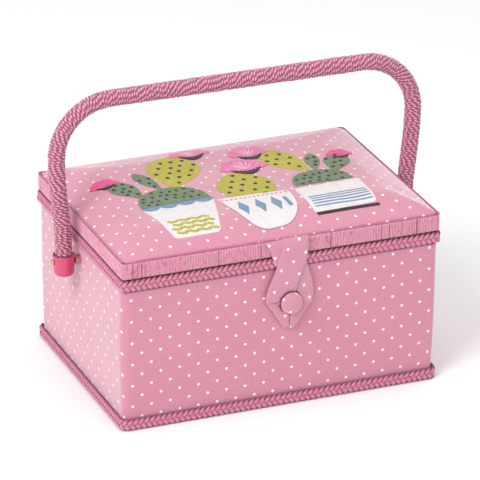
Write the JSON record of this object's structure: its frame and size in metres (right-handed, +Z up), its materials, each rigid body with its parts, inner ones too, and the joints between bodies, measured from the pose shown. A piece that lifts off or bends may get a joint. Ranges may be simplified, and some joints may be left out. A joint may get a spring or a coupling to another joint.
{
  "type": "sewing box",
  "caption": "Fabric-covered sewing box with a hinged padded lid, cord-wound bail handle, tape loop and covered button, and a lift-out divided tray.",
  "frame": {"origin": "centre of the underside, on the surface the box stands on", "axes": "+X to the right along the width, +Z up, the button and loop face -Y and the hinges are on the +Y side"},
  "size_m": [0.3062, 0.2008, 0.2398],
  "materials": {
    "dotted_cloth": "woven cotton printed with small white dots",
    "gathered_band": "closely gathered thread band",
    "plaited_cord": "three-strand plait of soft cord",
    "wound_cord": "two-ply paper-soft cord, close wound",
    "lining_cloth": "plain woven lining over card",
    "board_stock": "bare fibreboard",
    "wadding": "polyester wadding",
    "cap_plastic": "moulded, glossy",
    "core_plastic": "extruded rod, unseen",
    "brass": "polished",
    "steel": "bright",
    "tray_plastic": "moulded, lightly translucent",
    "motif_cloth": "embroidered cloth pieces"
  },
  "bodies": {
    "base": {"underside_cover": "lining_cloth", "bottom_board": "board_stock", "wall_front": "board_stock", "wall_back": "board_stock", "wall_left": "board_stock", "wall_right": "board_stock", "body_cover": "dotted_cloth", "base_braid": "plaited_cord", "lining_walls": "lining_cloth", "floor_pad": "lining_cloth", "tray_ledge_left": "board_stock", "tray_ledge_right": "board_stock", "button_back": "steel", "button_cover": "dotted_cloth", "rivet_washer_left": "steel", "rivet_washer_right": "steel", "hinge_body_leaf_left": "brass", "hinge_body_leaf_right": "brass", "hinge_pin_left": "steel", "hinge_pin_right": "steel", "hinge_body_screw_left_outer": "brass", "hinge_body_screw_left_inner": "brass", "hinge_body_screw_right_outer": "brass", "hinge_body_screw_right_inner": "brass"},
    "handle_pivots": {"handle_rivet_left": "brass", "handle_rivet_right": "brass", "handle_spacer_left": "brass", "handle_spacer_right": "brass"},
    "handle": {"handle_core": "core_plastic", "handle_wrap": "wound_cord", "handle_cap_left": "cap_plastic", "handle_cap_right": "cap_plastic"},
    "lid": {"lid_rim_front": "board_stock", "lid_rim_back": "board_stock", "lid_rim_left": "board_stock", "lid_rim_right": "board_stock", "lid_board": "board_stock", "lid_padding": "wadding", "lid_cover": "dotted_cloth", "lid_band": "gathered_band", "lid_braid": "plaited_cord", "lid_braid_back": "plaited_cord", "lid_lining": "lining_cloth", "pincushion": "dotted_cloth", "lid_pocket": "dotted_cloth", "hinge_lid_leaf_left": "brass", "hinge_lid_leaf_right": "brass", "motif_left": "motif_cloth", "motif_middle": "motif_cloth", "motif_right": "motif_cloth", "hinge_lid_screw_left_outer": "brass", "hinge_lid_screw_left_inner": "brass", "hinge_lid_screw_right_outer": "brass", "hinge_lid_screw_right_inner": "brass"},
    "loop": {"closure_loop": "dotted_cloth"},
    "tray": {"tray_shell": "tray_plastic", "tray_divider_long": "tray_plastic", "tray_divider_left": "tray_plastic", "tray_divider_right": "tray_plastic"}
  },
  "joints": [
    {"name": "lid_hinge", "type": "hinge", "parent": "base", "child": "lid", "pos_m": [0, 0.0956, 0.115], "axis": [-1, 0, 0], "range_deg": [0, 55]},
    {"name": "rivet_turn", "type": "hinge", "parent": "base", "child": "handle_pivots", "pos_m": [0, 0, 0.105], "axis": [-1, 0, 0], "range_deg": [0, 55]},
    {"name": "handle_swing", "type": "hinge", "parent": "handle_pivots", "child": "handle", "pos_m": [0, 0, 0.105], "axis": [-1, 0, 0], "range_deg": [-125, 0]},
    {"name": "loop_lift", "type": "hinge", "parent": "lid", "child": "loop", "pos_m": [0, -0.0942, 0.1388], "axis": [-1, 0, 0], "range_deg": [0, 100], "deforming": ["closure_loop"]},
    {"name": "tray_lift", "type": "slide", "parent": "base", "child": "tray", "axis": [0, 0, 1], "range_m": [0, 0.01]}
  ],
  "couplings": [
    {"joint": "rivet_turn", "follows": "lid_hinge", "ratio": 1}
  ]
}
